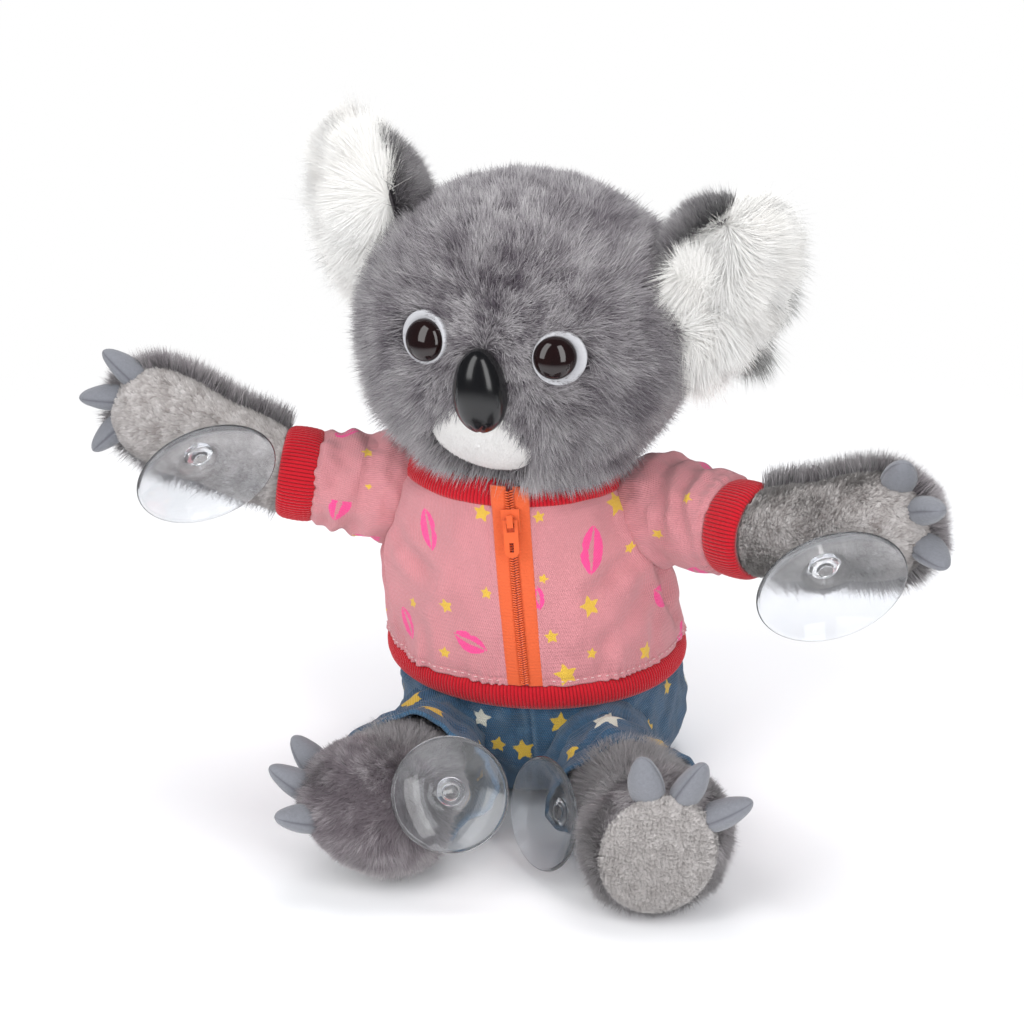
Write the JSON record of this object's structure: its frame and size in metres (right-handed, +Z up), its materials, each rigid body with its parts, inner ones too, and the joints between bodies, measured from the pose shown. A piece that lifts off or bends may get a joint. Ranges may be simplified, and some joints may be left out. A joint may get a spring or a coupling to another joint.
{
  "type": "plush koala",
  "caption": "Sitting plush koala with fluffy ears, zipped jacket and shorts, spread arms, stitched claws and a clear suction cup tied to each paw.",
  "frame": {"origin": "middle of the bounding box in X and Y, on the surface that the toy sits on", "axes": "+Z up; the toy faces -Y, so its own left hand is towards +X"},
  "size_m": [0.3264, 0.1806, 0.2418],
  "materials": {
    "grey_fur": "long grey pile",
    "dark_fur": "long dark grey pile",
    "white_fur": "long white pile",
    "pale_pile": "short greige pile",
    "claw_cloth": "smooth knit",
    "pink_cloth": "printed twill",
    "red_rib": "rib knit",
    "denim": "washed denim print",
    "orange_tape": "woven tape and coil",
    "orange_metal": "painted",
    "black_plastic": "polished",
    "white_felt": "felt",
    "white_plastic": "moulded",
    "clear_vinyl": "clear, slightly milky",
    "white_thread": "twisted thread"
  },
  "bodies": {
    "torso": {"torso": "grey_fur", "shorts_seat": "denim", "jacket_back": "pink_cloth", "jacket_front_left": "pink_cloth", "jacket_front_right": "pink_cloth", "zip_tape_left": "orange_tape", "zip_tape_right": "orange_tape", "zip_coil": "orange_tape", "hem_rib": "red_rib", "collar_rib": "red_rib"},
    "zip_slider": {"zip_slider": "orange_metal"},
    "zip_pull": {"zip_pull": "orange_metal"},
    "head": {"eye_left": "black_plastic", "eye_rim_left": "white_felt", "eye_washer_left": "white_plastic", "eye_right": "black_plastic", "eye_rim_right": "white_felt", "eye_washer_right": "white_plastic", "nose": "black_plastic", "nose_washer": "white_plastic", "muzzle_patch": "white_fur", "ear_back_left": "dark_fur", "ear_front_left": "white_fur", "ear_back_right": "dark_fur", "ear_front_right": "white_fur", "head": "grey_fur"},
    "left_arm": {"left_arm_palm": "pale_pile", "left_arm_fur": "dark_fur", "left_sleeve": "pink_cloth", "left_cuff": "red_rib", "left_hand_claw_upper": "claw_cloth", "left_hand_claw_middle": "claw_cloth", "left_hand_claw_lower": "claw_cloth"},
    "left_leg": {"left_leg": "grey_fur", "left_sole": "pale_pile", "left_shorts_leg": "denim", "left_foot_claw_outer": "claw_cloth", "left_foot_claw_middle": "claw_cloth", "left_foot_claw_inner": "claw_cloth"},
    "left_hand_cup": {"left_hand_cup": "clear_vinyl", "left_hand_cup_tie": "white_thread"},
    "left_foot_cup": {"left_foot_cup": "clear_vinyl", "left_foot_cup_tie": "white_thread"},
    "right_arm": {"right_arm_palm": "pale_pile", "right_arm_fur": "dark_fur", "right_sleeve": "pink_cloth", "right_cuff": "red_rib", "right_hand_claw_upper": "claw_cloth", "right_hand_claw_middle": "claw_cloth", "right_hand_claw_lower": "claw_cloth"},
    "right_leg": {"right_leg": "grey_fur", "right_sole": "pale_pile", "right_shorts_leg": "denim", "right_foot_claw_outer": "claw_cloth", "right_foot_claw_middle": "claw_cloth", "right_foot_claw_inner": "claw_cloth"},
    "right_hand_cup": {"right_hand_cup": "clear_vinyl", "right_hand_cup_tie": "white_thread"},
    "right_foot_cup": {"right_foot_cup": "clear_vinyl", "right_foot_cup_tie": "white_thread"}
  },
  "joints": [
    {"name": "neck", "type": "hinge", "parent": "torso", "child": "head", "pos_m": [0.00201, 0.03528, 0.124], "axis": [0, 0, 1], "range_deg": [-25, 25], "stiffness_Nm_per_rad": 0.6},
    {"name": "left_shoulder", "type": "hinge", "parent": "torso", "child": "left_arm", "pos_m": [0.05701, 0.03428, 0.105], "axis": [-0.5, -0.866, 0], "range_deg": [-30, 20], "stiffness_Nm_per_rad": 0.5},
    {"name": "left_hip", "type": "hinge", "parent": "torso", "child": "left_leg", "pos_m": [0.04101, -0.00072, 0.0212], "axis": [0, 0, 1], "range_deg": [-8, 22], "stiffness_Nm_per_rad": 0.5},
    {"name": "left_hand_cup_tilt", "type": "hinge", "parent": "left_arm", "child": "left_hand_cup", "pos_m": [0.11875, -0.0143, 0.11505], "axis": [0.9205, 0.3907, 0], "range_deg": [-8, 8], "stiffness_Nm_per_rad": 0.02},
    {"name": "left_foot_cup_tilt", "type": "hinge", "parent": "left_leg", "child": "left_foot_cup", "pos_m": [0.0455, -0.04649, 0.02182], "axis": [0.7071, -0.7071, 0], "range_deg": [-8, 8], "stiffness_Nm_per_rad": 0.02},
    {"name": "right_shoulder", "type": "hinge", "parent": "torso", "child": "right_arm", "pos_m": [-0.04759, 0.03428, 0.105], "axis": [-0.1392, 0.9903, 0], "range_deg": [-30, 20], "stiffness_Nm_per_rad": 0.5},
    {"name": "right_hip", "type": "hinge", "parent": "torso", "child": "right_leg", "pos_m": [-0.01699, -0.00072, 0.0212], "axis": [0, 0, 1], "range_deg": [-22, 8], "stiffness_Nm_per_rad": 0.5},
    {"name": "right_hand_cup_tilt", "type": "hinge", "parent": "right_arm", "child": "right_hand_cup", "pos_m": [-0.11084, 0.0151, 0.12401], "axis": [0.809, 0.5878, 0], "range_deg": [-8, 8], "stiffness_Nm_per_rad": 0.02},
    {"name": "right_foot_cup_tilt", "type": "hinge", "parent": "right_leg", "child": "right_foot_cup", "pos_m": [-0.00524, -0.06414, 0.03256], "axis": [0.9781, 0.2079, 0], "range_deg": [-8, 8], "stiffness_Nm_per_rad": 0.02},
    {"name": "zip_slider", "type": "hinge", "parent": "torso", "child": "zip_slider", "pos_m": [-0.00919, 0.17994, 0.04948], "axis": [0.9869, 0.1283, 0.0979], "range_deg": [0, 15.6]},
    {"name": "zip_pull", "type": "hinge", "parent": "zip_slider", "child": "zip_pull", "pos_m": [0.00889, -0.00685, 0.11207], "axis": [-0.9869, -0.1283, -0.0979], "range_deg": [0, 150]}
  ]
}
